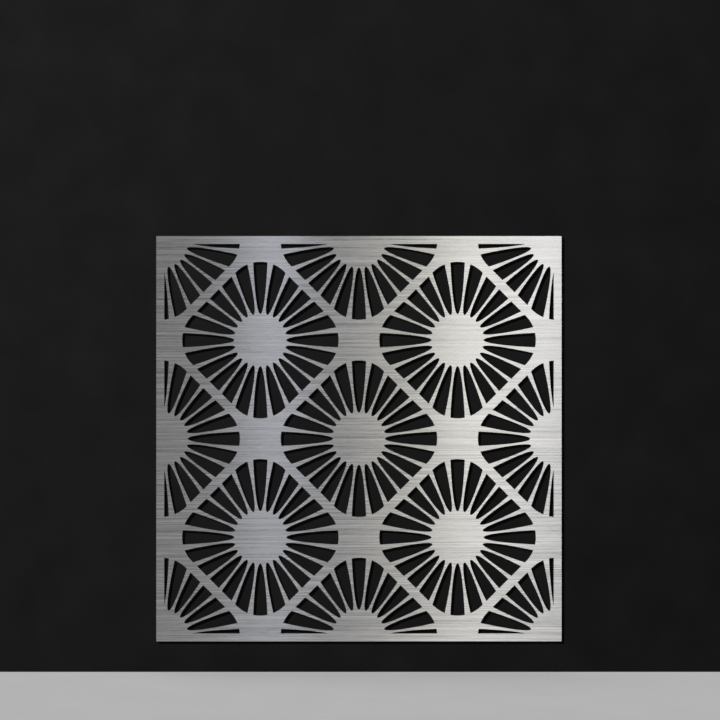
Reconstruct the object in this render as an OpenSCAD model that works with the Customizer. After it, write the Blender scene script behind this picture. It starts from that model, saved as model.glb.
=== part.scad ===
// A laser-cut screen: one square sheet of brushed stainless steel with a lattice of sunbursts
// cut through it, held off the wall by hidden stud fixings behind the solid discs.
// X runs across the screen and Z up it. The front faces -Y and the studs point to +Y.
// The origin is on the axis of the middle stud, in the plane where the fixings meet the wall.

/* [Sheet] */
// Thickness of the steel sheet
sheet_t = 3; // [2:0.5:6]
// Width of the plain border round the cut-outs
border_w = 17.5; // [13:0.5:26]
// From the sheet's edge to the outermost row of sunburst middles
edge_margin = 12; // [6:0.5:12]

/* [Pattern] */
// Distance over which the pattern repeats, both ways
repeat = 438; // [390:2:520]
// Number of repeats across the sheet
repeats_across = 2; // [1:1:4]
// Number of repeats up the sheet
repeats_up = 2; // [1:1:4]
// Width of the diagonal bars between the diamonds
bar_w = 19.5; // [10:0.5:36]
// Radius of the diamonds' rounded corners
diamond_corner_r = 76; // [40:1:100]
// Number of rays in a whole sunburst
ray_count = 24; // [12:4:28]
// Radius of the solid disc in the middle of a sunburst
disc_r = 58; // [44:1:72]
// Length of the oval whose inner part is a ray
oval_l = 430; // [340:10:600]
// Width of the metal between two rays where it is narrowest
web_w = 4.8; // [3:0.2:7]

/* [Fixings] */
// From the sheet's edge to the axis of the outer studs
stud_inset = 30; // [22:1:38]
// Outside diameter of the studs' thread
stud_d = 6; // [5:1:8]
// How far the thread stands out past the plain neck behind it
thread_step = 0.35; // [0.2:0.05:0.5]
// Length of a stud from the back of the sheet
stud_l = 30; // [24:1:50]
// Chamfer at the free end of a stud
stud_chamfer = 0.8; // [0.4:0.1:1.2]
// How far a stud's weld flange stands out past its thread
flange_step = 0.75; // [0.5:0.05:1]
// Thickness of the weld flange
flange_t = 0.8; // [0.5:0.1:0.9]
// Gap between the weld flange and the cushion washer round it
flange_clearance = 0.5; // [0.2:0.1:1]
// Outside diameter of the cushion washers and of the spacer sleeves
sleeve_d = 16; // [14:1:22]
// Length of a spacer sleeve
sleeve_l = 8; // [5:1:20]
// Chamfer at both ends of a sleeve
sleeve_chamfer = 0.5; // [0.2:0.1:1]
// Gap between a stud and the sleeve round it
sleeve_clearance = 0.3; // [0.1:0.05:0.6]
// Thickness of a cushion washer, between the sheet and a sleeve
cushion_t = 1; // [1:0.5:3]
// Thickness of a retaining washer, between a sleeve and the wall
retainer_t = 1; // [0.8:0.2:2]
// How far a retaining washer's edge sits inside the sleeve's
retainer_inset = 1; // [0.5:0.25:2]
// Thickness of the retaining washer's lip, which sits behind the thread
lip_t = 0.5; // [0.3:0.1:0.7]
// Gap between a stud's neck and the lip round it
lip_clearance = 0.05; // [0.02:0.01:0.1]

/* [Hidden] */

// Circles are drawn with this many sides, and a ray with this many points along each flank
circle_sides = 64;
flank_points = 8;
// The diamonds' round corners are cut in flats this many degrees apart
corner_step = 7.5;

panel_w = repeats_across * repeat + 2 * edge_margin;
panel_h = repeats_up * repeat + 2 * edge_margin;
stand_off = cushion_t + sleeve_l + retainer_t;
stud_r = stud_d / 2;
neck_r = stud_r - thread_step;
bore_r = stud_r + sleeve_clearance;

// A diamond is a square stood on its corner, drawn about the middle of its sunburst
diamond_flat = repeat / sqrt(8) - bar_w / 2;
corner_middle = (diamond_flat - diamond_corner_r) * sqrt(2);
diamond_point = diamond_flat * sqrt(2);

// The oval is as wide as leaves web_w of metal between it and the next one
ray_turn = 360 / ray_count;
oval_a = oval_l / 2;
oval_gap = (disc_r + oval_a) * sin(ray_turn / 2) - web_w / 2;
oval_b = sqrt(pow(oval_gap, 2) - pow(oval_a * sin(ray_turn / 2), 2)) / cos(ray_turn / 2);
// A flank runs far enough round the oval to pass the diamond's point
flank_turn = acos(1 - (diamond_point - disc_r) / oval_a) / (flank_points - 0.5);

// Sunbursts stand at the corners and at the middle of every repeat
sunbursts = concat(
    [for (i = [0 : repeats_across], j = [0 : repeats_up]) from_middle(i, j)],
    [for (i = [1 : repeats_across], j = [1 : repeats_up]) from_middle(i - 0.5, j - 0.5)]);
function from_middle(i, j) = [i - repeats_across / 2, j - repeats_up / 2] * repeat;

// A point turned about the middle of its sunburst
function turned(p, angle) =
    [p.x * cos(angle) - p.y * sin(angle), p.x * sin(angle) + p.y * cos(angle)];

// The oval's inner part, with its blunt tip at disc_r, for the ray that points along angle
function ray(angle) = [for (k = [flank_points - 1 : -1 : -flank_points])
    let (t = (k + 0.5) * flank_turn)
    turned([disc_r + oval_a * (1 - cos(t)), oval_b * sin(t)], angle)];

// What is left of a convex outline when all further out than reach along angle is cut off
function trimmed(outline, angle, reach) =
    let (out = [cos(angle), sin(angle)], last = len(outline) - 1)
    [for (k = [0 : 1 : last])
        let (p = outline[k], q = outline[k < last ? k + 1 : 0])
        let (p_in = reach - p * out, q_in = reach - q * out)
        each concat(p_in >= 0 ? [p] : [],
            p_in * q_in < 0 ? [p + (q - p) * p_in / (p_in - q_in)] : [])];

// From the middle of a diamond to its outline's flat that faces along angle
function diamond_reach(angle) =
    corner_middle * cos((angle + 45) % 90 - 45) + diamond_corner_r;

// An outline about the middle of a sunburst, trimmed to its rounded diamond
function in_diamond(outline, angle = 0) = angle >= 360 ? outline
    : in_diamond(trimmed(outline, angle, diamond_reach(angle)), angle + corner_step);

// An outline about the middle of the sheet, trimmed to the plain border
function in_border(outline) =
    let (across = panel_w / 2 - border_w, up = panel_h / 2 - border_w)
    trimmed(trimmed(trimmed(trimmed(outline, 0, across), 90, up), 180, across), 270, up);

// The studs stand behind the discs, and those of the outer discs within the sheet's edge
function stud_place(i, repeats) =
    i == 0 ? stud_inset - edge_margin - repeats / 2 * repeat
    : i == repeats ? repeats / 2 * repeat + edge_margin - stud_inset
    : (i - repeats / 2) * repeat;

// Turns what is drawn flat to stand upright, with its height above the page towards the front
module upright() rotate([90, 0, 0]) children();

// Draws its child at each stud, from the back of the sheet towards the wall
module at_studs()
    for (i = [0 : repeats_across], j = [0 : repeats_up])
        translate([stud_place(i, repeats_across), -stand_off, stud_place(j, repeats_up)])
            rotate([-90, 0, 0]) children();

// A round piece about the stud's axis, from the outline of one half
module round_piece(outline) rotate_extrude($fn = circle_sides) polygon(outline);

// The sheet, with every ray of every sunburst cut through it
module screen_panel()
    color("silver") translate([0, -stand_off, 0]) upright() linear_extrude(sheet_t) difference() {
        square([panel_w, panel_h], center = true);
        for (middle = sunbursts, turn = [0 : ray_count - 1]) {
            cut_out = in_border([for (p = in_diamond(ray(turn * ray_turn))) p + middle]);
            if (len(cut_out) > 2) polygon(cut_out);
        }
    }

// Flanged studs welded to the back of the sheet, with a plain neck as far as the wall
module weld_studs()
    color("lightgrey") at_studs() round_piece([
        [0, 0],
        [stud_r + flange_step, 0],
        [stud_r + flange_step, flange_t],
        [neck_r, flange_t],
        [neck_r, stand_off],
        [stud_r, stand_off + thread_step],
        [stud_r, stud_l - stud_chamfer],
        [stud_r - stud_chamfer, stud_l],
        [0, stud_l]]);

// Soft washers that keep the sleeves off the back of the sheet
module cushion_washers()
    color("dimgrey") at_studs() round_piece([
        [stud_r + flange_step + flange_clearance, 0],
        [sleeve_d / 2, 0],
        [sleeve_d / 2, cushion_t],
        [stud_r + flange_step + flange_clearance, cushion_t]]);

// Plain tubes that set the gap between the sheet and the wall
module spacer_sleeves() {
    outside_r = sleeve_d / 2;
    end = cushion_t + sleeve_l;
    color("gainsboro") at_studs() round_piece([
        [bore_r, cushion_t],
        [outside_r - sleeve_chamfer, cushion_t],
        [outside_r, cushion_t + sleeve_chamfer],
        [outside_r, end - sleeve_chamfer],
        [outside_r - sleeve_chamfer, end],
        [bore_r, end]]);
}

// Push-on washers whose lip snaps in behind the thread, so that no sleeve drops off its stud
module retaining_washers() {
    start = cushion_t + sleeve_l;
    lip_r = neck_r + lip_clearance;
    outside_r = sleeve_d / 2 - retainer_inset;
    color("white") at_studs() round_piece([
        [lip_r, start],
        [outside_r, start],
        [outside_r, stand_off],
        [bore_r, stand_off],
        [bore_r, start + lip_t],
        [lip_r, start + lip_t]]);
}

screen_panel();
weld_studs();
cushion_washers();
spacer_sleeves();
retaining_washers();
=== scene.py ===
"""The looks of a laser-cut stainless steel screen with hidden stud fixings, in the part's own frame.

Lengths are in metres. X runs across the screen and Z up it, the front faces -Y, and Y is 0 where
the fixings meet the wall.
"""

import bpy
import numpy as np
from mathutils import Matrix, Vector
from mathutils.geometry import delaunay_2d_cdt


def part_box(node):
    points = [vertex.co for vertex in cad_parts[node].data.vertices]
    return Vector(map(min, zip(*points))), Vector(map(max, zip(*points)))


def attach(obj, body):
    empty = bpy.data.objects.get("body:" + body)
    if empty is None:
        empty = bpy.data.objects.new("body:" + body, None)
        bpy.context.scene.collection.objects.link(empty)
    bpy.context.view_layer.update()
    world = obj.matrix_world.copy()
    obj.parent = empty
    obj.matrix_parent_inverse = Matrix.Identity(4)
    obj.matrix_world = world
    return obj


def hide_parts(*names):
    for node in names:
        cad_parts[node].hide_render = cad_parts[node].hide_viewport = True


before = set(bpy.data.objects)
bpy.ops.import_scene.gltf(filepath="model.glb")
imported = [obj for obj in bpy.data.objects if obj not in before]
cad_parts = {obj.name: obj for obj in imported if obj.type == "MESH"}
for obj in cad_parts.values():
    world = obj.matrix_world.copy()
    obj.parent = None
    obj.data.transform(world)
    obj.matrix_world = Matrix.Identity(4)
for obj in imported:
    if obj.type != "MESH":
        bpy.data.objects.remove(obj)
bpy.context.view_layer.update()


# ---- The sheet ----------------------------------------------------------------------------------
# One sheet of stainless steel. The face is brushed along its width, then a laser cuts the rays of
# every sunburst through it, and the cut edges are deburred. The back keeps the mill's finish, and
# has straw and blue marks of heat beside the cuts and round the studs welded to it.

sheet_low, sheet_high = (np.array(corner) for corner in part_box("screen_panel"))
sheet_w, sheet_t, sheet_h = sheet_high - sheet_low

border_w = 0.0175               # of the plain border round the cut-outs
repeat = 0.438                  # of the pattern, across and up
bar_w = 0.0195                  # of the diagonal bars between the diamonds
diamond_corner_r = 0.076
ray_count = 24
disc_r = 0.058
oval_l = 0.430                  # of the oval whose inner part is a ray
web_w = 0.0048                  # of the metal between two rays, where it is narrowest
stud_inset = 0.030              # from the sheet's edge to the axis of the outer studs

deburr = 0.00015                # width of the bevel that deburring leaves on a cut's edges
near_cut = 0.0016               # how far from a cut the laser's heat shows on the back
straw_ring = (0.0110, 0.0155)   # radii round a stud between which the straw mark of heat fades
blue_ring = (0.0095, 0.0120)    # and the blue one
heat_waver = 0.003              # how far the edges of these marks wander

flank_points = 22               # along each flank of a ray
end_points = 9                  # along the outer end of a ray
halvings = 40                   # of the interval in which a flank ends
shortest_edge = 0.00005         # shorter ones are left out of a cut-out's outline
least_mitre = 0.5               # keeps the mitre at a ray's sharp corners short
sharp_edge = np.radians(30)     # edges that turn by more are shaded sharp
map_split = 0.62                # the front's share of the UV map's width
map_margin = 0.003              # left free round the front's part of the map and the back's
map_wall = 0.0013               # depth of a cut's wall on the map, less than the true one

ray_turn = 2 * np.pi / ray_count
diamond_flat = repeat / np.sqrt(8) - bar_w / 2
corner_middle = (diamond_flat - diamond_corner_r) * np.sqrt(2)
oval_a = oval_l / 2
oval_gap = (disc_r + oval_a) * np.sin(ray_turn / 2) - web_w / 2
oval_b = np.sqrt(oval_gap**2 - (oval_a * np.sin(ray_turn / 2)) ** 2) / np.cos(ray_turn / 2)
stud_reach = sheet_w / 2 - stud_inset


def diamond_reach(angle):
    """Distance from a sunburst's middle to its rounded diamond, in the direction angle.

    With d the angle from the nearest corner, it is c cos d + sqrt(r^2 - (c sin d)^2) on the round
    corner of radius r about the point at c, and flat / cos(45 degrees - |d|) on the straight sides.
    """
    off = np.abs((angle + np.pi / 4) % (np.pi / 2) - np.pi / 4)
    half = diamond_corner_r / np.sqrt(2)
    sine = corner_middle * np.sin(off)
    corner = corner_middle * np.cos(off) + np.sqrt(np.maximum(diamond_corner_r**2 - sine**2, 0))
    side = diamond_flat / np.cos(np.pi / 4 - off)
    return np.where(off < np.arctan2(half, corner_middle + half), corner, side)


def flank(turn):
    """A point of a ray's flank: along = disc_r + a (1 - cos turn), across = b sin turn."""
    return disc_r + oval_a * (1 - np.cos(turn)), oval_b * np.sin(turn)


def sunburst():
    """The rays' outlines about a sunburst's middle, as an array [ray, point, x or z].

    A ray is the inner part of an oval with its blunt tip at disc_r. Each flank ends where it meets
    the rounded diamond, found by halving an interval, and the outer end follows the diamond.
    """
    angle = np.arange(ray_count)[:, None] * ray_turn
    side = np.array([1, -1])
    low, high = np.zeros((ray_count, 2)), np.full((ray_count, 2), np.pi / 2)
    for _ in range(halvings):
        turn = (low + high) / 2
        along, across = flank(turn)
        short = np.hypot(along, across) < diamond_reach(angle + side * np.arctan2(across, along))
        low, high = np.where(short, turn, low), np.where(short, high, turn)
    share = np.linspace(0, 1, flank_points)
    upper, lower = (flank(low[:, k, None] * share) for k in (0, 1))
    upper_end, lower_end = (np.arctan2(across[:, -1:], along[:, -1:]) for along, across in (upper, lower))
    round_end = np.linspace(0, 1, end_points + 2)[1:-1] * (upper_end + lower_end) - lower_end
    reach = diamond_reach(angle + round_end)
    along = np.hstack([upper[0][:, ::-1], lower[0][:, 1:], reach * np.cos(round_end)])
    across = np.hstack([upper[1][:, ::-1], -lower[1][:, 1:], reach * np.sin(round_end)])
    cosine, sine = np.cos(angle), np.sin(angle)
    return np.stack([along * cosine - across * sine, along * sine + across * cosine], -1)


def trimmed(outline, out, reach):
    """What is left of a convex outline when all further out than reach, along out, is cut off."""
    inside = reach - outline @ out
    after, inside_after = np.roll(outline, -1, 0), np.roll(inside, -1)
    crosses = inside * inside_after < 0
    share = np.divide(inside, inside - inside_after, out=np.zeros_like(inside), where=crosses)
    both = np.stack([outline, outline + (after - outline) * share[:, None]], 1)
    return both[np.stack([inside >= 0, crosses], 1)]


def grid(across, up):
    """Whole numbers (i, j) with i below across and j below up."""
    return np.stack(np.meshgrid(np.arange(across), np.arange(up)), -1).reshape(-1, 2)


def sheet_outlines():
    """The sheet's edge, clockwise, then every cut-out, anticlockwise, with the metal on the right."""
    repeats = np.round(np.array([sheet_w, sheet_h]) / repeat).astype(int)
    middles = np.vstack([grid(*(repeats + 1)), grid(*repeats) + 0.5]) * repeat - repeats * repeat / 2
    half = np.array([sheet_w, sheet_h]) / 2
    outlines = [half * [[-1, -1], [-1, 1], [1, 1], [1, -1]]]
    rays = sunburst()
    for middle in middles:
        for outline in middle + rays:
            for out in np.array([[1, 0], [0, 1], [-1, 0], [0, -1]]):
                outline = trimmed(outline, out, np.abs(out) @ half - border_w)
            step = np.linalg.norm(outline - np.roll(outline, 1, 0), axis=1)
            outline = outline[step > shortest_edge]
            if len(outline) > 2:
                outlines.append(outline)
    return outlines


def joined_outlines():
    """All outlines' points end to end, with four values for each point.

    They are its place, the number of its outline, the number of the point after it, and the way
    into the metal, along the mitre (n1 + n2) / (1 + n1.n2) of its two edges' normals n1 and n2.
    """
    outlines = sheet_outlines()
    count = np.array([len(outline) for outline in outlines])
    outline_of = np.repeat(np.arange(len(count)), count)
    first = (np.cumsum(count) - count)[outline_of]
    after = first + (np.arange(len(first)) - first + 1) % count[outline_of]
    edge = np.concatenate(outlines)
    step = edge[after] - edge
    step /= np.linalg.norm(step, axis=1, keepdims=True)
    normal = np.stack([step[:, 1], -step[:, 0]], -1)
    normal_before = np.empty_like(normal)
    normal_before[after] = normal
    mitre = np.maximum(1 + (normal * normal_before).sum(1), least_mitre)
    return edge, outline_of, after, (normal + normal_before) / mitre[:, None]


def flat_face(ring, outline_of, after):
    """The triangles that fill the flat face between the outlines.

    The cut-outs are convex, so a triangle with all its corners on one of them lies in it, and is
    left out.
    """
    fill_inside, tolerance = 1, 1e-9
    sides = np.stack([np.arange(len(after)), after], -1)
    filled = delaunay_2d_cdt(ring.tolist(), sides.tolist(), [], fill_inside, tolerance)
    triangles = np.array(filled[2])
    return triangles[np.ptp(outline_of[triangles], axis=1) > 0]


def unwrapped(place, face):
    """UV places for the baked finish: the front on the left of the map and the back on its right.

    u = margin + (x / w + 1/2) * width, and v likewise from z.
    """
    left, right = (0.0, map_split) if face == "front" else (map_split, 1.0)
    low = np.array([left, 0.0]) + map_margin
    high = np.array([right, 1.0]) - map_margin
    return low + (place / [sheet_w, sheet_h] + 0.5) * (high - low)


def sheet_uv(edge, after, into_metal, rings, triangles):
    """UV places for the corners of every strip of the profile, then of the front and the back.

    The walls of a cut unfold into the cut's own opening, drawn together to stay clear of each other
    at the rays' tips. unfolded has the strips' distances into the metal, at their two long sides.
    """
    unfolded = [
        (near_cut, deburr), (deburr, 0), (0, -map_wall), (-map_wall, -map_wall - deburr),
        (deburr, near_cut)]
    uv = []
    for distances, face in zip(unfolded, ["front"] * 4 + ["back"]):
        start, end = (unwrapped(edge + distance * into_metal, face) for distance in distances)
        uv.append(np.stack([start, start[after], end[after], end], 1).reshape(-1, 2))
    uv.append(unwrapped(rings[0], "front")[triangles].reshape(-1, 2))
    uv.append(unwrapped(rings[-1], "back")[triangles[:, ::-1]].reshape(-1, 2))
    return np.concatenate(uv)


def make_sheet():
    """The sheet as a profile carried along every outline, closed by the flat front and back.

    The profile's points are (distance into the metal, depth behind the front).
    """
    profile = np.array([
        [near_cut, 0], [deburr, 0], [0, deburr],
        [0, sheet_t - deburr], [deburr, sheet_t], [near_cut, sheet_t]])
    edge, outline_of, after, into_metal = joined_outlines()
    total = len(edge)
    rings = edge + profile[:, 0, None, None] * into_metal
    places = np.empty((len(profile), total, 3))
    places[..., 0], places[..., 2] = rings[..., 0], rings[..., 1]
    places[..., 1] = sheet_low[1] + profile[:, 1, None]

    point = np.arange(total)
    ring = np.arange(len(profile) - 1)[:, None] * total
    strips = np.stack(np.broadcast_arrays(
        ring + point, ring + after, ring + total + after, ring + total + point), -1)
    triangles = flat_face(rings[0], outline_of, after)
    back_triangles = triangles[:, ::-1] + (len(profile) - 1) * total
    faces = [strips.reshape(-1, 4), triangles, back_triangles]

    mesh = bpy.data.meshes.new("brushed_sheet")
    mesh.from_pydata(places.reshape(-1, 3), [], [face for part in faces for face in part.tolist()])
    uv = sheet_uv(edge, after, into_metal, rings, triangles)
    baked = mesh.uv_layers.new(name="OFBake")
    baked.data.foreach_set("uv", uv.astype(np.float32).ravel())
    # Materials: the brushed face is 0, what the laser cut is 1 and the back is 2
    finishes = np.repeat([0, 1, 1, 1, 2, 0, 2], [total] * 5 + [len(triangles)] * 2)
    mesh.polygons.foreach_set("material_index", finishes.astype(np.int32))
    heat = mesh.attributes.new("near_cut", "FLOAT", "POINT")
    heat.data.foreach_set("value", np.repeat([0, 1, 1, 1, 1, 0], total).astype(np.float32))
    mesh.shade_smooth()
    mesh.set_sharp_from_angle(angle=sharp_edge)
    return mesh


def add(tree, kind, inputs=None, **settings):
    """Adds a shader node. inputs gives an input, by name or number, a value or what feeds it."""
    node = tree.nodes.new("ShaderNode" + kind)
    for name, value in settings.items():
        setattr(node, name, value)
    for name, value in (inputs or {}).items():
        if isinstance(value, bpy.types.NodeSocket):
            tree.links.new(value, node.inputs[name])
        else:
            node.inputs[name].default_value = value
    return node


def maths(tree, operation, *values):
    """One step of arithmetic on numbers or outputs."""
    return add(tree, "Math", dict(enumerate(values)), operation=operation).outputs[0]


def spread(tree, value, low, high, to_low=0.0, to_high=1.0):
    """value taken from the range low to high, to the range to_low to to_high, and held at its ends."""
    return add(tree, "MapRange", {0: value, 1: low, 2: high, 3: to_low, 4: to_high}).outputs[0]


def mixed(tree, share, a, b):
    """Colour a where share is 0 and colour b where it is 1."""
    return add(tree, "Mix", {0: share, 6: a, 7: b}, data_type="RGBA").outputs[2]


def shader_group(name, inputs, outputs):
    """A node group with sockets given as (name, type) or (name, type, default), and its two ends."""
    group = bpy.data.node_groups.new(name, "ShaderNodeTree")
    for socket, kind, *default in inputs:
        new_socket = group.interface.new_socket(
            name=socket, in_out="INPUT", socket_type="NodeSocket" + kind)
        if default:
            new_socket.default_value = default[0]
    for socket, kind in outputs:
        group.interface.new_socket(name=socket, in_out="OUTPUT", socket_type="NodeSocket" + kind)
    return group, group.nodes.new("NodeGroupInput"), group.nodes.new("NodeGroupOutput")


def make_drawn_lines():
    """Lines left by a belt, a mill's rolls, a lathe or a laser: noise stretched to Line Size.

    Three noises are summed by their shares, each with lines a few times as long and as wide as the
    one before. The stretched places are turned askew, so that the noise's own grid doesn't line up
    with the lines.
    """
    askew = (0.5, 0.9, 0.9)
    sizes_and_shares = ((1.0, 0.55), (3.3, 0.35), (11.0, 0.10))
    group, given, made = shader_group(
        "drawn_lines",
        [("Vector", "Vector"), ("Line Size", "Vector", (0.1, 1.0, 0.002))],
        [("Lines", "Float")])
    stretched = add(group, "VectorMath", {0: given.outputs["Vector"], 1: given.outputs["Line Size"]},
                    operation="DIVIDE").outputs[0]
    stretched = add(group, "VectorRotate", {"Vector": stretched, "Rotation": askew},
                    rotation_type="EULER_XYZ").outputs[0]
    lines = 0.0
    for size, share in sizes_and_shares:
        noise = add(group, "TexNoise", {"Vector": stretched, "Scale": 1 / size, "Detail": 2.5,
                                        "Roughness": 0.6}).outputs[0]
        lines = maths(group, "MULTIPLY_ADD", noise, share, lines)
    group.links.new(lines, made.inputs["Lines"])
    return group


def make_about_a_stud():
    """Places about the nearest stud's axis, for studs Spacing apart across and up.

    Radius is the distance from the axis. Round the Axis is (x, y + slant * radius, z), in which lines
    that are fine along y run round a turned piece, on its ends as on its sides.
    """
    slant = 1.3
    group, given, made = shader_group(
        "about_a_stud",
        [("Vector", "Vector"), ("Spacing", "Float", stud_reach)],
        [("Radius", "Float"), ("Round the Axis", "Vector")])
    x, y, z = add(group, "SeparateXYZ", {0: given.outputs["Vector"]}).outputs
    half = maths(group, "MULTIPLY", given.outputs["Spacing"], 0.5)
    x, z = (maths(group, "WRAP", value, half, maths(group, "MULTIPLY", half, -1.0)) for value in (x, z))
    square = maths(group, "MULTIPLY_ADD", x, x, maths(group, "MULTIPLY", z, z))
    radius = maths(group, "SQRT", square)
    along = maths(group, "MULTIPLY_ADD", radius, slant, y)
    group.links.new(radius, made.inputs["Radius"])
    round_axis = add(group, "CombineXYZ", {0: x, 1: along, 2: z}).outputs[0]
    group.links.new(round_axis, made.inputs["Round the Axis"])
    return group


drawn_lines = make_drawn_lines()
about_a_stud = make_about_a_stud()
noise_range = (0.3, 0.7)        # in which a noise and the drawn lines mostly lie
brush_range = (0.42, 0.58)      # a narrower one, for brush lines that stand out


def placed(tree, group, vector, **inputs):
    """Puts a node group in a material, and gives its outputs."""
    node = add(tree, "Group", node_tree=group)
    tree.links.new(vector, node.inputs["Vector"])
    for name, value in inputs.items():
        node.inputs[name.replace("_", " ")].default_value = value
    return node.outputs


def new_material(name, **shader):
    """A material's node tree, its shader and its Object coordinates."""
    material = bpy.data.materials.new(name)
    material.use_nodes = True
    tree = material.node_tree
    principled = tree.nodes["Principled BSDF"]
    for socket, value in shader.items():
        principled.inputs[socket.replace("_", " ")].default_value = value
    return material, tree, principled, add(tree, "TexCoord").outputs["Object"]


def finish_with(tree, principled, colour, roughness, height, depth):
    """Feeds a shader its colour, its roughness and a bump of height times depth metres."""
    bump = add(tree, "Bump", {"Height": height, "Distance": depth, "Strength": 1.0}).outputs[0]
    for socket, output in (("Base Color", colour), ("Roughness", roughness), ("Normal", bump)):
        tree.links.new(output, principled.inputs[socket])


def make_brushed_face():
    """Satin stainless: long brush lines along X with short ones among them, which mirror across X."""
    material, tree, principled, place = new_material("brushed_face", Metallic=1.0, Anisotropic=1.0)
    upright = add(tree, "CombineXYZ", {2: 1.0}).outputs[0]
    tree.links.new(upright, principled.inputs["Tangent"])
    short = placed(tree, drawn_lines, place, Line_Size=(0.02, 1.0, 0.0006))["Lines"]
    long = placed(tree, drawn_lines, place, Line_Size=(0.25, 1.0, 0.0010))["Lines"]
    brush = maths(tree, "MULTIPLY_ADD", long, 0.7, maths(tree, "MULTIPLY", short, 0.3))
    steel = mixed(tree, spread(tree, brush, *brush_range), (0.37, 0.37, 0.375, 1), (0.86, 0.86, 0.865, 1))
    roughness = spread(tree, brush, *brush_range, 0.25, 0.34)
    finish_with(tree, principled, steel, roughness, brush, 0.000002)
    return material


def make_cut_edge():
    """What the laser leaves: fine ridges through the thickness, duller and darker than the face."""
    material, tree, principled, place = new_material("cut_edge", Metallic=1.0)
    ridges = placed(tree, drawn_lines, place, Line_Size=(0.0003, 0.004, 0.0003))["Lines"]
    steel = mixed(tree, ridges, (0.16, 0.155, 0.15, 1), (0.42, 0.41, 0.40, 1))
    roughness = spread(tree, ridges, *noise_range, 0.5, 0.36)
    finish_with(tree, principled, steel, roughness, ridges, 0.00003)
    return material


def make_mill_back():
    """Mill finish: faint rolling lines and pickled grain, with marks of heat by the cuts and studs."""
    material, tree, principled, place = new_material("mill_back", Metallic=1.0)
    rolled = placed(tree, drawn_lines, place, Line_Size=(0.03, 1.0, 0.0008))["Lines"]
    pickled = add(tree, "TexNoise", {"Vector": place, "Scale": 2200.0, "Detail": 3.0}).outputs[0]
    rolled = maths(tree, "MULTIPLY_ADD", pickled, 0.4, maths(tree, "MULTIPLY", rolled, 0.6))
    steel = mixed(tree, spread(tree, rolled, *noise_range), (0.46, 0.46, 0.455, 1), (0.58, 0.58, 0.575, 1))
    beside_cut = add(tree, "Attribute", attribute_name="near_cut").outputs["Fac"]
    uneven = add(tree, "TexNoise", {"Vector": place, "Scale": 220.0, "Detail": 3.0}).outputs[0]
    radius = placed(tree, about_a_stud, place)["Radius"]
    radius = maths(tree, "MULTIPLY_ADD", uneven, heat_waver, radius)
    straw = spread(tree, radius, *straw_ring, 0.7, 0.0)
    straw = maths(tree, "MAXIMUM", straw, maths(tree, "MULTIPLY", beside_cut, 0.6))
    steel = mixed(tree, straw, steel, (0.42, 0.33, 0.19, 1))
    steel = mixed(tree, spread(tree, radius, *blue_ring, 0.7, 0.0), steel, (0.19, 0.21, 0.31, 1))
    roughness = spread(tree, rolled, *noise_range, 0.36, 0.44)
    finish_with(tree, principled, steel, roughness, rolled, 0.000006)
    return material


def add_collection(name):
    """A collection in the scene, so that a light can be told what it lights."""
    collection = bpy.data.collections.new(name)
    bpy.context.scene.collection.children.link(collection)
    return collection


screen = add_collection("screen")


def add_piece(name, mesh, materials, node):
    """Puts a finished mesh in the screen, on the part's one body, in the place of a CAD node."""
    piece = bpy.data.objects.new(name, mesh)
    screen.objects.link(piece)
    for material in materials:
        mesh.materials.append(material)
    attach(piece, "root")
    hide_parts(node)


add_piece(
    "brushed_sheet", make_sheet(), [make_brushed_face(), make_cut_edge(), make_mill_back()],
    "screen_panel")


# ---- The weld studs -----------------------------------------------------------------------------
# Nine flanged M6 studs of stainless steel, welded to the back of the sheet behind the discs. The
# thread is rolled, so its crests and roots are soft, and it stops at a plain neck of its middle
# diameter, which stands in the fixings.

stud_r = 0.003
thread_pitch = 0.001
thread_depth = 0.00061
thread_crest = 0.125        # share of the pitch that the flat crest takes
thread_root = 0.25          # and the flat root
thread_start = 0.01035      # from the back of the sheet
thread_run = 0.0004         # over which the thread grows out of the neck
stud_l = 0.030
stud_chamfer = 0.0008
neck_r = 0.00265
flange_r = 0.00375
flange_t = 0.0008
stud_round = 0.00012        # rounding of the flange's rim and the tip
rim_points = 4              # round each edge of the flange
thread_steps = 22           # sides of a stud and rows in a pitch: equal, so that facets follow the helix

stud_middles = (grid(3, 3) - 1) * stud_reach    # at -stud_reach, 0 and stud_reach, both ways


def turned_mesh(name, radius, depth, closed):
    """Round pieces about all the studs' axes, from grids of radius and depth behind the sheet.

    At row k and angle t a point is (X + r cos t, sheet's back + depth, Z + r sin t), with r and
    depth from the grids [row, side]. A closed outline joins its last row to its first, and an open
    one ends on the axis, where a single point closes it.
    """
    rows, sides = radius.shape
    angle = np.arange(sides) * 2 * np.pi / sides
    ring = np.stack([radius * np.cos(angle), depth, radius * np.sin(angle)], -1).reshape(-1, 3)
    if not closed:
        ring = np.vstack([ring, [0, depth[0, 0], 0], [0, depth[-1, 0], 0]])
    offset = np.insert(stud_middles, 1, sheet_high[1], axis=1)
    places = (ring + offset[:, None]).reshape(-1, 3)

    side = np.arange(sides)
    after = (side + 1) % sides
    row = np.arange(rows if closed else rows - 1)[:, None] * sides
    row_after = (row + sides) % (rows * sides)
    quads = np.stack([row + side, row_after + side, row_after + after, row + after], -1).reshape(-1, 4)
    faces = [quads]
    if not closed:
        last = (rows - 1) * sides
        pole = np.full(sides, rows * sides)
        faces += [np.stack([pole, side, after], -1), np.stack([pole + 1, last + after, last + side], -1)]
    starts = np.arange(len(stud_middles))[:, None, None] * len(ring)
    copies = [(part + starts).reshape(-1, part.shape[1]) for part in faces]
    mesh = bpy.data.meshes.new(name)
    mesh.from_pydata(places, [], [face for part in copies for face in part.tolist()])
    mesh.shade_smooth()
    mesh.set_sharp_from_angle(angle=sharp_edge)
    return mesh


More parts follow.
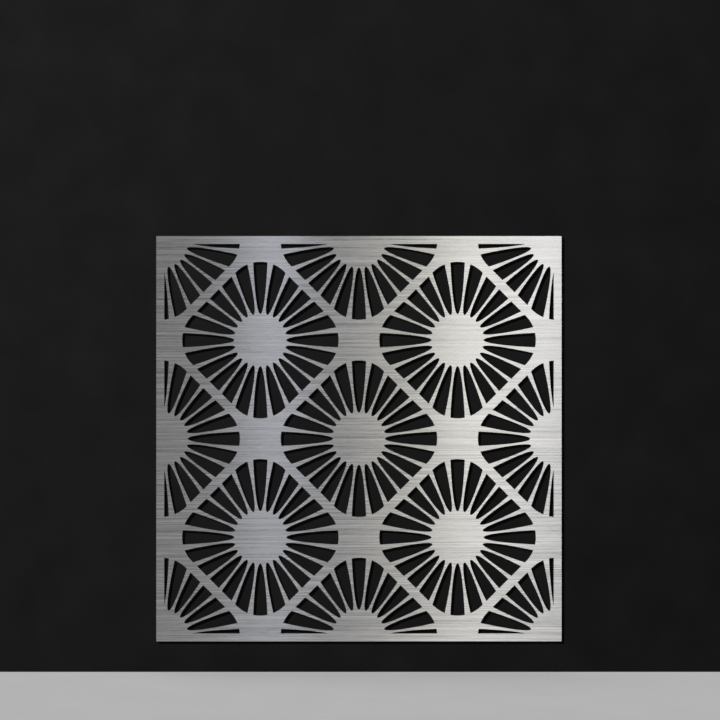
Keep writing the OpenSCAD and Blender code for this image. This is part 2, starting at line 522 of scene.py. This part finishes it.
def make_studs():
    """The stud's radius and depth, row by row: flange, neck, thread and chamfered tip.

    The thread's height over its root is a trapezoid of the phase depth / pitch - angle / turn, taken
    halfway to a smooth step 3 h^2 - 2 h^3. It grows out of the neck, and the chamfer cuts it.
    """
    turn = np.arange(thread_steps) / thread_steps
    corner = np.linspace(0, np.pi / 2, rim_points)
    rim_r = flange_r - stud_round + stud_round * np.sin(corner)
    rim_depth = stud_round - stud_round * np.cos(corner)
    head_r = np.concatenate([rim_r, rim_r[::-1], [neck_r, neck_r]])
    head_depth = np.concatenate([rim_depth, flange_t - rim_depth[::-1], [flange_t, thread_start]])
    step = thread_pitch / thread_steps
    thread = np.arange(thread_start + step, stud_l - stud_round / 2, step)[:, None]
    phase = (thread / thread_pitch - turn) % 1
    from_root = 1 - thread_root - np.abs(2 * phase - 1)
    ridge = np.clip(from_root / (1 - thread_root - thread_crest), 0, 1)
    ridge = (ridge + ridge * ridge * (3 - 2 * ridge)) / 2
    height = stud_r - thread_depth + thread_depth * ridge
    start = np.clip((thread - thread_start) / thread_run, 0, 1)
    height = neck_r + (height - neck_r) * start
    height = np.minimum(height, stud_r - stud_chamfer + stud_l - thread)
    tip_r = np.array([stud_r - stud_chamfer, stud_r - stud_chamfer - stud_round])
    tip_depth = np.array([stud_l - stud_round / 3, stud_l])
    radius = np.vstack([np.repeat(head_r[:, None], thread_steps, 1), height,
                        np.repeat(tip_r[:, None], thread_steps, 1)])
    depth = np.concatenate([head_depth, thread[:, 0], tip_depth])
    depth = np.repeat(depth[:, None], thread_steps, 1)
    return turned_mesh("threaded_studs", radius, depth, closed=False)


def make_stud_steel():
    """Drawn and rolled stainless: faint lines round the stud, with painted shade in the thread's roots."""
    material, tree, principled, place = new_material("stud_steel", Metallic=1.0)
    around = placed(tree, about_a_stud, place)
    lines = placed(tree, drawn_lines, around["Round the Axis"], Line_Size=(0.004, 0.00012, 0.004))["Lines"]
    steel = mixed(tree, spread(tree, lines, *noise_range), (0.44, 0.43, 0.41, 1), (0.66, 0.65, 0.62, 1))
    # Painted shade: the colour darkens towards the thread's roots, where shade falls between the crests
    root = spread(tree, around["Radius"], stud_r - thread_depth, stud_r, 0.7, 0.0)
    steel = mixed(tree, root, steel, (0.16, 0.15, 0.14, 1))
    roughness = spread(tree, lines, *noise_range, 0.26, 0.36)
    finish_with(tree, principled, steel, roughness, lines, 0.00001)
    return material


add_piece("threaded_studs", make_studs(), [make_stud_steel()], "weld_studs")


# ---- The cushion washers ------------------------------------------------------------------------
# Nine soft black rubber washers, stamped from sheet. Each lies between the back of the sheet and a
# sleeve, round a stud's flange, and its rim bulges a little under the load.

sleeve_r = 0.008
cushion_bore_r = 0.00425
cushion_t = 0.001
cushion_bulge = 0.00015     # of the rim's middle past the sleeve, and of its edges inside it
stamped_edge = 0.0001       # rounding that stamping leaves
turned_sides = 64
soft_points = 4             # round each softened corner


def softened(corners, rounding):
    """A closed outline with each corner C rounded: (1-t)^2 A + 2t(1-t) C + t^2 B.

    A and B lie on the corner's two sides, at the rounding's distance from it. The rounding is one
    for all corners, or a list with one for each.
    """
    corners = np.array(corners)
    ends = []
    for neighbour in (np.roll(corners, 1, 0), np.roll(corners, -1, 0)):
        side = neighbour - corners
        ends.append(corners + side * np.reshape(rounding, (-1, 1)) / np.linalg.norm(side, axis=1)[:, None])
    t = np.linspace(0, 1, soft_points)[:, None]
    a, b, c = (part[:, None] for part in (*ends, corners))
    return ((1 - t) ** 2 * a + 2 * t * (1 - t) * c + t**2 * b).reshape(-1, 2)


def turned_ring(name, outline):
    """A ring turned from a closed outline of (radius, depth behind the sheet)."""
    radius, depth = (np.repeat(outline[:, k, None], turned_sides, 1) for k in (0, 1))
    return turned_mesh(name, radius, depth, closed=True)


def make_rubber():
    """Rubber: near black, dull and finely mottled, with a little pale dust."""
    material, tree, principled, place = new_material("cushion_rubber", Specular_IOR_Level=0.35)
    mottle = add(tree, "TexNoise", {"Vector": place, "Scale": 2500.0, "Detail": 5.0}).outputs[0]
    dust = add(tree, "TexNoise", {"Vector": place, "Scale": 300.0, "Detail": 4.0}).outputs[0]
    rubber = mixed(tree, mottle, (0.016, 0.016, 0.017, 1), (0.045, 0.045, 0.046, 1))
    rubber = mixed(tree, spread(tree, dust, 0.55, 0.75, 0.0, 0.5), rubber, (0.11, 0.11, 0.105, 1))
    roughness = spread(tree, dust, *noise_range, 0.62, 0.85)
    finish_with(tree, principled, rubber, roughness, mottle, 0.00006)
    return material


rim_r = sleeve_r - cushion_bulge
cushion = softened(
    [[cushion_bore_r, 0], [rim_r, 0], [sleeve_r + cushion_bulge, cushion_t / 2],
     [rim_r, cushion_t], [cushion_bore_r, cushion_t]],
    [stamped_edge, stamped_edge, cushion_t / 3, stamped_edge, stamped_edge])
add_piece("rubber_washers", turned_ring("rubber_washers", cushion), [make_rubber()],
          "cushion_washers")


# ---- The spacer sleeves -------------------------------------------------------------------------
# Nine plain tubes turned from stainless bar, chamfered at both ends. They are loose on the studs,
# and set the gap between the sheet and the wall.

sleeve_bore_r = 0.0033
sleeve_l = 0.008
sleeve_chamfer = 0.0005
broken_edge = 0.00008       # rounding of an edge that is rubbed with emery


def make_turned_steel():
    """Turned stainless: bright, with fine tool lines round the axis and a few darker grooves."""
    material, tree, principled, place = new_material("turned_steel", Metallic=1.0)
    around = placed(tree, about_a_stud, place)["Round the Axis"]
    lines = placed(tree, drawn_lines, around, Line_Size=(0.02, 0.00013, 0.02))["Lines"]
    groove = spread(tree, lines, 0.33, 0.43, 1.0, 0.0)
    steel = mixed(tree, spread(tree, lines, *noise_range), (0.56, 0.56, 0.565, 1), (0.76, 0.76, 0.765, 1))
    steel = mixed(tree, maths(tree, "MULTIPLY", groove, 0.6), steel, (0.28, 0.28, 0.28, 1))
    roughness = spread(tree, lines, *noise_range, 0.34, 0.22)
    finish_with(tree, principled, steel, roughness, lines, 0.000012)
    return material


sleeve_start, sleeve_end = cushion_t, cushion_t + sleeve_l
end_r = sleeve_r - sleeve_chamfer
sleeve = softened(
    [[sleeve_bore_r, sleeve_start], [end_r, sleeve_start], [sleeve_r, sleeve_start + sleeve_chamfer],
     [sleeve_r, sleeve_end - sleeve_chamfer], [end_r, sleeve_end], [sleeve_bore_r, sleeve_end]],
    broken_edge)
add_piece("turned_sleeves", turned_ring("turned_sleeves", sleeve), [make_turned_steel()],
          "spacer_sleeves")


# ---- The retaining washers ----------------------------------------------------------------------
# Nine moulded washers of milky nylon, pushed over the threads. The lip inside each one snaps in
# behind the thread, so the sleeves can't drop off before the screen is up.

retainer_r = 0.007
lip_r = 0.0027
lip_t = 0.0005
moulded_edge = 0.00012      # rounding of an edge as it leaves the mould


def make_nylon():
    """Natural nylon: milky white, a little yellow in patches, with a fine moulded grain."""
    material, tree, principled, place = new_material("milky_nylon", Specular_IOR_Level=0.5)
    grain = add(tree, "TexNoise", {"Vector": place, "Scale": 3000.0, "Detail": 3.0}).outputs[0]
    cloud = add(tree, "TexNoise", {"Vector": place, "Scale": 180.0, "Detail": 3.0}).outputs[0]
    nylon = mixed(tree, spread(tree, cloud, 0.35, 0.65), (0.70, 0.68, 0.61, 1), (0.82, 0.81, 0.76, 1))
    nylon = mixed(tree, spread(tree, grain, 0.55, 0.75, 0.0, 0.3), nylon, (0.60, 0.58, 0.52, 1))
    roughness = spread(tree, cloud, *noise_range, 0.34, 0.46)
    finish_with(tree, principled, nylon, roughness, grain, 0.00003)
    return material


retainer_end = -sheet_high[1]
retainer = softened(
    [[lip_r, sleeve_end], [retainer_r, sleeve_end], [retainer_r, retainer_end],
     [sleeve_bore_r, retainer_end], [sleeve_bore_r, sleeve_end + lip_t], [lip_r, sleeve_end + lip_t]],
    moulded_edge)
add_piece("nylon_washers", turned_ring("nylon_washers", retainer), [make_nylon()],
          "retaining_washers")


# ---- The studio ---------------------------------------------------------------------------------
# A pale floor, and a plain dark wall that the fixings meet. Both show from their front alone, so
# that the screen's back can be seen too. The lights are soft boxes and one broad sun.

floor_drop = 0.07       # from the screen's lower edge to the floor
stage_reach = 60.0      # half the width of the floor and of the wall
air_light = 0.14        # how brightly the world shines
air_seen = 0.45         # and how bright it looks to the camera
boxes_y = -4.5          # of the boxes that the brushed face mirrors, behind the camera
cool = (0.83, 0.87, 1)
pale = (1, 0.99, 0.975)
warm = (1, 0.97, 0.90)
amber = (1, 0.95, 0.82)


def add_stage(name, corners, colour, mottle):
    """A flat, plain surface with a slight mottle, seen from the side that its corners turn to."""
    mesh = bpy.data.meshes.new(name)
    mesh.from_pydata(corners, [], [range(4)])
    material, tree, principled, place = new_material(name, Roughness=0.9, Specular_IOR_Level=0.0)
    noise = add(tree, "TexNoise", {"Vector": place, "Scale": 9.0, "Detail": 6.0}).outputs[0]
    shades = ([colour * (1 + change)] * 3 + [1.0] for change in (-mottle, mottle))
    tree.links.new(mixed(tree, noise, *shades), principled.inputs["Base Color"])
    behind = add(tree, "NewGeometry").outputs["Backfacing"]
    clear = add(tree, "BsdfTransparent").outputs[0]
    shown = add(tree, "MixShader", {0: behind, 1: principled.outputs[0], 2: clear}).outputs[0]
    tree.links.new(shown, tree.nodes["Material Output"].inputs["Surface"])
    mesh.materials.append(material)
    flat = bpy.data.objects.new(name, mesh)
    collection = add_collection(name)
    collection.objects.link(flat)
    return flat, collection


floor_z = sheet_low[2] - floor_drop
_, floor = add_stage(
    "floor",
    [(-stage_reach, -stage_reach, floor_z), (stage_reach, -stage_reach, floor_z),
     (stage_reach, stage_reach, floor_z), (-stage_reach, stage_reach, floor_z)],
    colour=0.38, mottle=0.04)
wall_plane, wall = add_stage(
    "wall",
    [(-stage_reach, 0, floor_z), (stage_reach, 0, floor_z),
     (stage_reach, 0, stage_reach), (-stage_reach, 0, stage_reach)],
    colour=0.0064, mottle=0.3)
# The wall is neither mirrored nor lights the screen, and keeps no light off the screen's back
wall_plane.visible_diffuse = False
wall_plane.visible_glossy = False
wall_plane.visible_transmission = False
wall_plane.visible_shadow = False


def add_light(name, kind, place, aim, watts, lit, **settings):
    """A light at place that faces aim, doesn't show itself, and lights only the collection lit."""
    light = bpy.data.lights.new(name, kind)
    light.energy = watts
    for setting, value in settings.items():
        setattr(light, setting, value)
    lamp = bpy.data.objects.new(name, light)
    lamp.location = place
    lamp.rotation_euler = (Vector(aim) - Vector(place)).to_track_quat("-Z", "Y").to_euler()
    lamp.visible_camera = False
    lamp.light_linking.receiver_collection = lit
    bpy.context.scene.collection.objects.link(lamp)


def add_soft_box(name, place, aim, width, height, watts, lit, colour=(1, 1, 1)):
    """A light in the shape of a rectangle, width by height."""
    add_light(name, "AREA", place, aim, watts, lit,
              shape="RECTANGLE", size=width, size_y=height, color=colour)


# The key throws the screen's close shadow on the wall, down and to the right
add_soft_box("key", (-2.0, -4.0, 2.0), (0, 0, 0), 0.35, 0.35, 360, wall)
# One broad, even light over the floor, and two boxes for the screen's back
add_light("overhead", "SUN", (-1.0, -1.5, 4.0), (0, 0, 0), 3.6, floor, angle=np.radians(70))
add_soft_box("back_box", (1.6, 3.0, 1.8), (0, 0, 0), 1.6, 2.4, 60, screen)
add_soft_box("back_strip", (-1.8, 2.6, 0.9), (0, 0, 0), 0.5, 2.4, 25, screen)
# Five boxes behind the camera, which the brushed face mirrors: a strip left of its middle, and a
# band that climbs to the right from a dim box
add_soft_box("cool_strip", (-0.42, boxes_y, 0.9), (0, 0, 0), 0.18, 3.0, 3.1, screen, cool)
add_soft_box("dim_box", (0.25, boxes_y, 0), (0.1, 0, 0), 0.5, 1.8, 3.2, screen, amber)
add_soft_box("tall_box", (0.5, boxes_y, 0), (0.2, 0, 0), 0.25, 4.0, 4.2, screen, warm)
add_soft_box("low_box", (0.63, boxes_y, 0.4), (0.2, 0, 0), 0.25, 1.8, 3.2, screen, warm)
add_soft_box("high_box", (0.94, boxes_y, 1.3), (0.2, 0, 0), 0.28, 2.4, 7.9, screen, pale)

world = bpy.data.worlds.new("studio")
world.use_nodes = True
bpy.context.scene.world = world
air = world.node_tree
seen = add(air, "LightPath").outputs["Is Camera Ray"]
background = air.nodes["Background"]
background.inputs["Color"].default_value = (1, 1, 1, 1)
air.links.new(spread(air, seen, 0, 1, air_light, air_seen), background.inputs["Strength"])
bpy.context.scene.view_settings.view_transform = "Standard"


# ---- The camera ---------------------------------------------------------------------------------
# It looks straight at the screen, and its place sets the screen in the frame as the photograph has
# it: photo_sheet pixels wide, with its middle at photo_middle.

photo_side = 720                    # pixels
photo_sheet = 405.4
photo_middle = (358.94, 438.74)     # from the left and from the top
lens = 85                           # millimetres
sensor = 36

metres_a_pixel = sheet_w / photo_sheet
camera = bpy.data.objects.new("camera", bpy.data.cameras.new("camera"))
camera.data.lens, camera.data.sensor_width = lens, sensor
camera.location = (
    (photo_side / 2 - photo_middle[0]) * metres_a_pixel,
    sheet_low[1] - photo_side * metres_a_pixel * lens / sensor,
    (photo_middle[1] - photo_side / 2) * metres_a_pixel)
camera.rotation_euler = (np.pi / 2, 0, 0)
bpy.context.scene.collection.objects.link(camera)
bpy.context.scene.camera = camera
